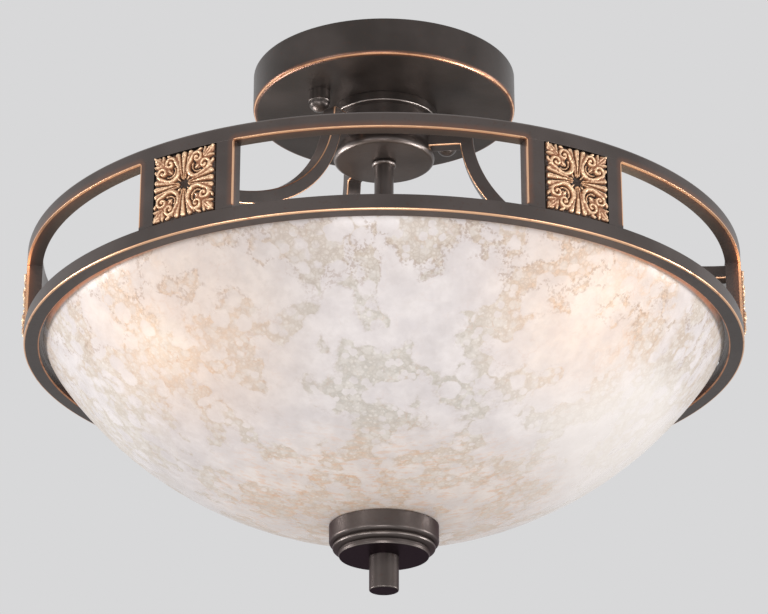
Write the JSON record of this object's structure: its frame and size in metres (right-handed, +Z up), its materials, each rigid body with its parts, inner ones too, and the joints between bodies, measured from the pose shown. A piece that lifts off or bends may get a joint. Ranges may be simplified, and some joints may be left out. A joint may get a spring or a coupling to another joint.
{
  "type": "semi-flush ceiling light",
  "caption": "Semi-flush ceiling light: round canopy, hub with curved arms, pierced ring with ornamented posts, and a mottled glass bowl held by a finial.",
  "frame": {"origin": "centre of the screw pattern on the ceiling face of the ceiling strip", "axes": "+Z up into the ceiling, -Y towards the front that the picture shows, +X to its right"},
  "size_m": [0.4228, 0.42, 0.325],
  "materials": {
    "bronze": "satin oil-rubbed bronze with copper edges",
    "copper_relief": "rubbed copper over dark recesses",
    "mottled_glass": "frosted white glass with beige veins",
    "zinc_steel": "zinc plated",
    "brass": "plain",
    "black_plastic": "moulded, glossy",
    "white_plastic": "moulded, matt",
    "porcelain": "glazed ceramic",
    "bulb_glass": "opal",
    "bulb_metal": "plain",
    "rubber": "matt",
    "brown_lead": "insulation",
    "blue_lead": "insulation",
    "green_lead": "insulation"
  },
  "bodies": {
    "fixture": {"ceiling_strip": "zinc_steel", "studs": "zinc_steel", "earth_screw": "brass", "terminal_block": "white_plastic", "terminal_screws": "brass", "lead_live": "brown_lead", "lead_neutral": "blue_lead", "lead_earth": "green_lead", "canopy": "bronze", "canopy_washer": "zinc_steel", "canopy_nut": "zinc_steel", "hub_collar": "bronze", "hub_cup": "bronze", "hub_plate": "zinc_steel", "hub_screws": "zinc_steel", "hub_nut": "zinc_steel", "central_tube": "zinc_steel", "rod_collar": "bronze", "cover_tube": "bronze", "arm_1": "bronze", "arm_2": "bronze", "arm_3": "bronze", "top_rail": "bronze", "bottom_rail": "bronze", "posts": "bronze", "tile_1": "copper_relief", "tile_2": "copper_relief", "tile_3": "copper_relief", "tile_4": "copper_relief", "tile_5": "copper_relief", "tile_6": "copper_relief", "lamp_block": "bronze", "lamp_block_lid": "bronze", "lamp_block_nut": "zinc_steel", "side_nipples": "zinc_steel", "holder_dome_right": "black_plastic", "holder_dome_left": "black_plastic", "holder_skirt_right": "black_plastic", "holder_skirt_left": "black_plastic", "holder_insert_right": "porcelain", "holder_insert_left": "porcelain", "screw_shell_right": "brass", "screw_shell_left": "brass", "bowl_nut": "zinc_steel", "bowl_stop": "zinc_steel", "upper_gasket": "rubber"},
    "cap_nut_left": {"cap_nut_left": "bronze"},
    "cap_nut_right": {"cap_nut_right": "bronze"},
    "right_bulb": {"bulb_right": "bulb_glass", "bulb_cap_right": "bulb_metal"},
    "left_bulb": {"bulb_left": "bulb_glass", "bulb_cap_left": "bulb_metal"},
    "bowl": {"glass_bowl": "mottled_glass", "lower_gasket": "rubber"},
    "finial": {"finial_cup": "bronze", "finial_stem": "bronze"}
  },
  "joints": [
    {"name": "cap_nut_left_turn", "type": "hinge", "parent": "fixture", "child": "cap_nut_left", "pos_m": [-0.0383, -0.03057, -0.03], "axis": [0, 0, 1], "continuous": true},
    {"name": "cap_nut_right_turn", "type": "hinge", "parent": "fixture", "child": "cap_nut_right", "pos_m": [0.0383, 0.03057, -0.03], "axis": [0, 0, 1], "continuous": true},
    {"name": "bulb_right_turn", "type": "hinge", "parent": "fixture", "child": "right_bulb", "pos_m": [0, 0, -0.168], "axis": [0.9744, -0.225, 0], "continuous": true},
    {"name": "bulb_left_turn", "type": "hinge", "parent": "fixture", "child": "left_bulb", "pos_m": [0, 0, -0.168], "axis": [-0.9744, 0.225, 0], "continuous": true},
    {"name": "bowl_lower", "type": "slide", "parent": "fixture", "child": "bowl", "axis": [0, 0, -1], "range_m": [0, 0.14]},
    {"name": "finial_turn", "type": "hinge", "parent": "bowl", "child": "finial", "pos_m": [0, 0, -0.3], "axis": [0, 0, 1], "continuous": true}
  ]
}
